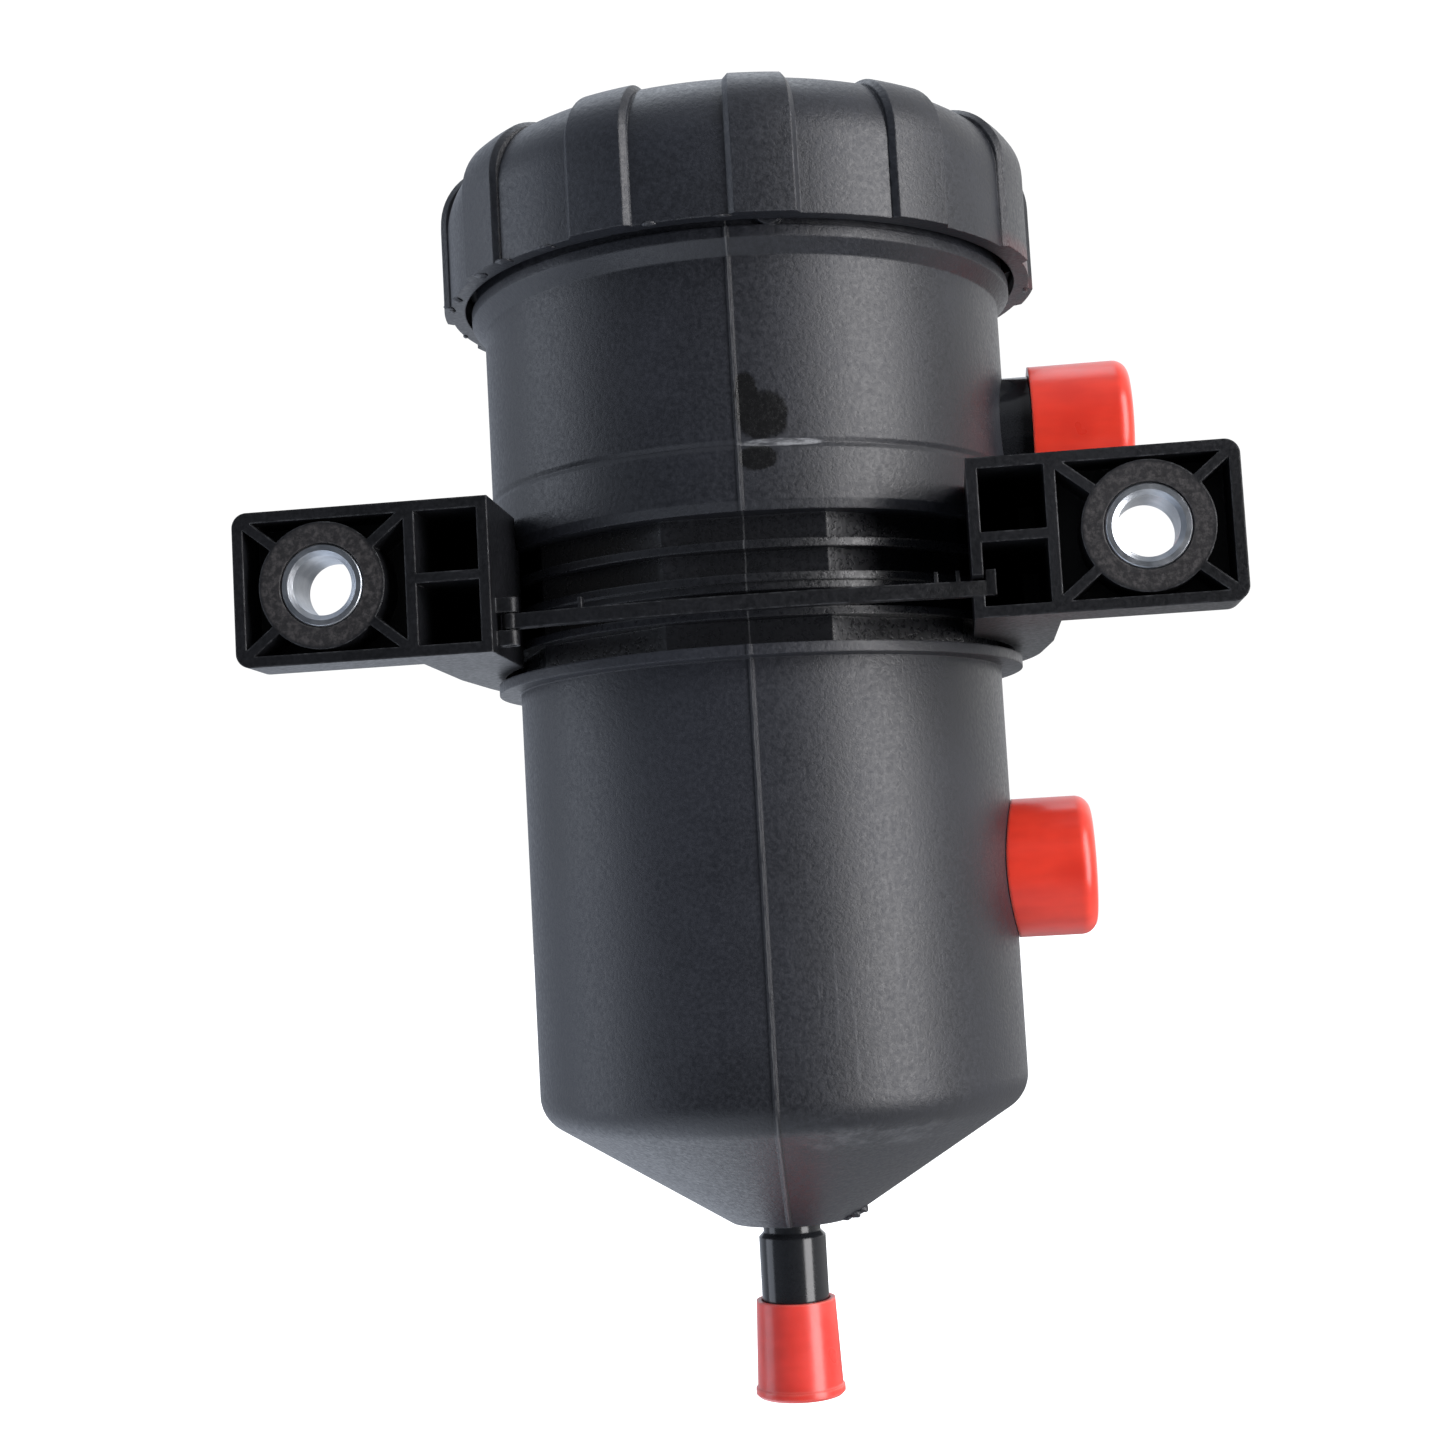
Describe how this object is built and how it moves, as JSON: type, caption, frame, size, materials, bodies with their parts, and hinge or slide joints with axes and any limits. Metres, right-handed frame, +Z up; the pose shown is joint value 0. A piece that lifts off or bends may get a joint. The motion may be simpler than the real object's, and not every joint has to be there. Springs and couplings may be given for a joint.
{
  "type": "oil separator reservoir",
  "caption": "Plastic oil-mist separator canister with a ribbed screw cap, hose stubs, bottom drain and a clamp bracket with two bushed mounting ears.",
  "frame": {"origin": "midway between the two mounting holes, on the mounting plane", "axes": "+Z up along the canister, towards the screw cap; -Y towards the wall that the bracket bolts to; +X towards the hose stubs"},
  "size_m": [0.198, 0.1316, 0.2723],
  "materials": {
    "canister_plastic": "black glass-filled nylon, fine matte grain",
    "stub_plastic": "smooth black nylon, slight sheen",
    "bracket_plastic": "black glass-filled nylon, matte",
    "cap_plastic": "black glass-filled nylon, fine matte grain",
    "plated_steel": "zinc-plated turned steel",
    "spring_steel": "bright drawn wire",
    "seal_rubber": "black elastomer",
    "element_plastic": "dark grey nylon",
    "filter_fleece": "wound off-white coalescing fleece",
    "red_vinyl": "soft glossy red vinyl"
  },
  "bodies": {
    "canister": {"housing": "canister_plastic", "outlet_stub": "stub_plastic", "inlet_stub": "stub_plastic", "drain_nipple": "stub_plastic", "bracket": "bracket_plastic", "left_bush": "plated_steel", "right_bush": "plated_steel", "filter_core": "element_plastic", "filter_media": "filter_fleece", "filter_top_end_cap": "element_plastic", "filter_bottom_end_cap": "element_plastic", "filter_seal_ring": "seal_rubber"},
    "cap_seal": {"cap_o_ring": "seal_rubber"},
    "cap": {"screw_cap": "cap_plastic", "vent_cover": "cap_plastic", "relief_valve_spring": "spring_steel"},
    "relief_valve": {"relief_valve_plate": "element_plastic", "relief_valve_seal": "seal_rubber"},
    "strap": {"retaining_strap": "bracket_plastic"},
    "upper_cap": {"upper_port_cap": "red_vinyl"},
    "lower_cap": {"lower_port_cap": "red_vinyl"},
    "bottom_cap": {"drain_cap": "red_vinyl"}
  },
  "joints": [
    {"name": "cap_lift", "type": "slide", "parent": "canister", "child": "cap_seal", "axis": [0, 0, 1], "range_m": [0, 0.009]},
    {"name": "cap_turn", "type": "hinge", "parent": "cap_seal", "child": "cap", "pos_m": [0, 0.061, 0.08], "axis": [0, 0, 1], "range_deg": [0, 540]},
    {"name": "relief_lift", "type": "slide", "parent": "cap", "child": "relief_valve", "axis": [0, 0, 1], "range_m": [0, 0.004], "stiffness_N_per_m": 400, "springref_m": -0.006, "deforming": ["relief_valve_spring"]},
    {"name": "strap_swing", "type": "hinge", "parent": "canister", "child": "strap", "pos_m": [-0.0444, 0.00565, -0.0092], "axis": [0, 0, -1], "range_deg": [0, 85]},
    {"name": "upper_cap_pull", "type": "slide", "parent": "canister", "child": "upper_cap", "axis": [1, 0, 0], "range_m": [0, 0.03]},
    {"name": "lower_cap_pull", "type": "slide", "parent": "canister", "child": "lower_cap", "axis": [1, 0, 0], "range_m": [0, 0.025]},
    {"name": "drain_cap_pull", "type": "slide", "parent": "canister", "child": "bottom_cap", "axis": [0, 0, -1], "range_m": [0, 0.025]}
  ],
  "couplings": [
    {"joint": "cap_lift", "follows": "cap_turn", "m_per_rad": 0.00095493}
  ]
}
